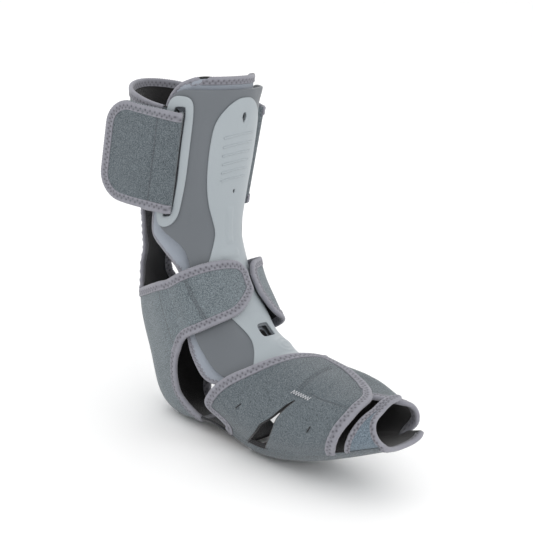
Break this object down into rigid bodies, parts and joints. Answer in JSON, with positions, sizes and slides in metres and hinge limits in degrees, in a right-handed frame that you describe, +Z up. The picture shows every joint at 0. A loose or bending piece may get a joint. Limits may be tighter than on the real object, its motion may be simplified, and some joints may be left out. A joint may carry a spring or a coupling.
{
  "type": "dorsal ankle foot orthosis",
  "caption": "Dorsal night splint: rigid shell down the shin and over the foot, foam liner inside, and bound hook-and-loop straps round calf, heel and forefoot.",
  "frame": {"origin": "middle of the flat resting face under the ball of the foot", "axes": "+Z up along the leg, -Y towards the toes, +X towards the far side of the leg, standing on the sole and heel sling"},
  "size_m": [0.1386, 0.3291, 0.3077],
  "materials": {
    "overmould": "satin soft-touch overmould",
    "core": "satin moulded plastic",
    "fabric": "heathered brushed loop fabric",
    "tape": "stretch binding tape with zigzag stitching",
    "plush": "soft plush lining",
    "foam": "brushed foam laminate",
    "hook": "woven hook tape"
  },
  "bodies": {
    "splint": {"shell_overmould": "overmould", "core_panel": "core", "slot_frame_near": "core", "slot_frame_far": "core", "liner_foam": "foam", "liner_binding": "tape", "liner_hook_calf": "hook", "liner_hook_shin": "hook", "liner_hook_foot": "hook", "calf_band": "fabric", "calf_band_binding_top": "tape", "calf_band_binding_bottom": "tape", "achilles_panel": "plush", "achilles_binding_near": "tape", "achilles_binding_far": "tape", "heel_sling": "fabric", "sling_binding_near": "tape", "sling_binding_far": "tape", "arch_strip": "plush", "sole_band": "fabric", "sole_binding_toe": "tape"},
    "calf_tab_near": {"calf_tab_near": "fabric", "calf_tab_binding_near": "tape", "calf_hook_near": "hook"},
    "ankle_strap_near": {"ankle_strap_near": "fabric", "ankle_strap_near_binding": "tape", "ankle_strap_near_hook": "hook"},
    "forefoot_flap_near": {"forefoot_flap_near": "fabric", "forefoot_flap_near_binding": "tape", "forefoot_flap_near_hook": "hook"},
    "calf_tab_far": {"calf_tab_far": "fabric", "calf_tab_binding_far": "tape", "calf_hook_far": "hook"},
    "ankle_strap_far": {"ankle_strap_far": "fabric", "ankle_strap_far_binding": "tape", "ankle_strap_far_hook": "hook"},
    "forefoot_flap_far": {"forefoot_flap_far": "fabric", "forefoot_flap_far_binding": "tape", "forefoot_flap_far_hook": "hook"},
    "toe_panel": {"toe_panel": "fabric", "toe_panel_binding": "tape"}
  },
  "joints": [
    {"name": "calf_hinge_near", "type": "hinge", "parent": "splint", "child": "calf_tab_near", "pos_m": [-0.04928, 0.11448, 0.22909], "axis": [-0.0287, -0.0307, 0.9991], "range_deg": [0, 110]},
    {"name": "calf_hinge_far", "type": "hinge", "parent": "splint", "child": "calf_tab_far", "pos_m": [0.04928, 0.11448, 0.22909], "axis": [-0.0287, 0.0307, -0.9991], "range_deg": [0, 110]},
    {"name": "ankle_hinge_near", "type": "hinge", "parent": "splint", "child": "ankle_strap_near", "pos_m": [-0.04419, 0.09501, 0.10416], "axis": [-0.0232, -0.5261, -0.8501], "range_deg": [0, 95]},
    {"name": "ankle_hinge_far", "type": "hinge", "parent": "splint", "child": "ankle_strap_far", "pos_m": [0.04423, 0.09202, 0.09989], "axis": [-0.0194, 0.5342, 0.8451], "range_deg": [0, 95]},
    {"name": "flap_hinge_near", "type": "hinge", "parent": "splint", "child": "forefoot_flap_near", "pos_m": [-0.04556, -0.02854, 0.02496], "axis": [-0.0093, -0.9887, 0.1494], "range_deg": [0, 80]},
    {"name": "flap_hinge_far", "type": "hinge", "parent": "splint", "child": "forefoot_flap_far", "pos_m": [0.04296, -0.03894, 0.02939], "axis": [0.0305, 0.9812, -0.1905], "range_deg": [0, 40]},
    {"name": "flap_hinge_toe", "type": "hinge", "parent": "splint", "child": "toe_panel", "pos_m": [-0.03969, -0.10926, 0.04402], "axis": [0.2496, -0.8872, 0.3882], "range_deg": [0, 80]}
  ],
  "couplings": [
    {"joint": "flap_hinge_far", "follows": "flap_hinge_near", "ratio": 0.5},
    {"joint": "flap_hinge_toe", "follows": "flap_hinge_near", "ratio": 1}
  ]
}
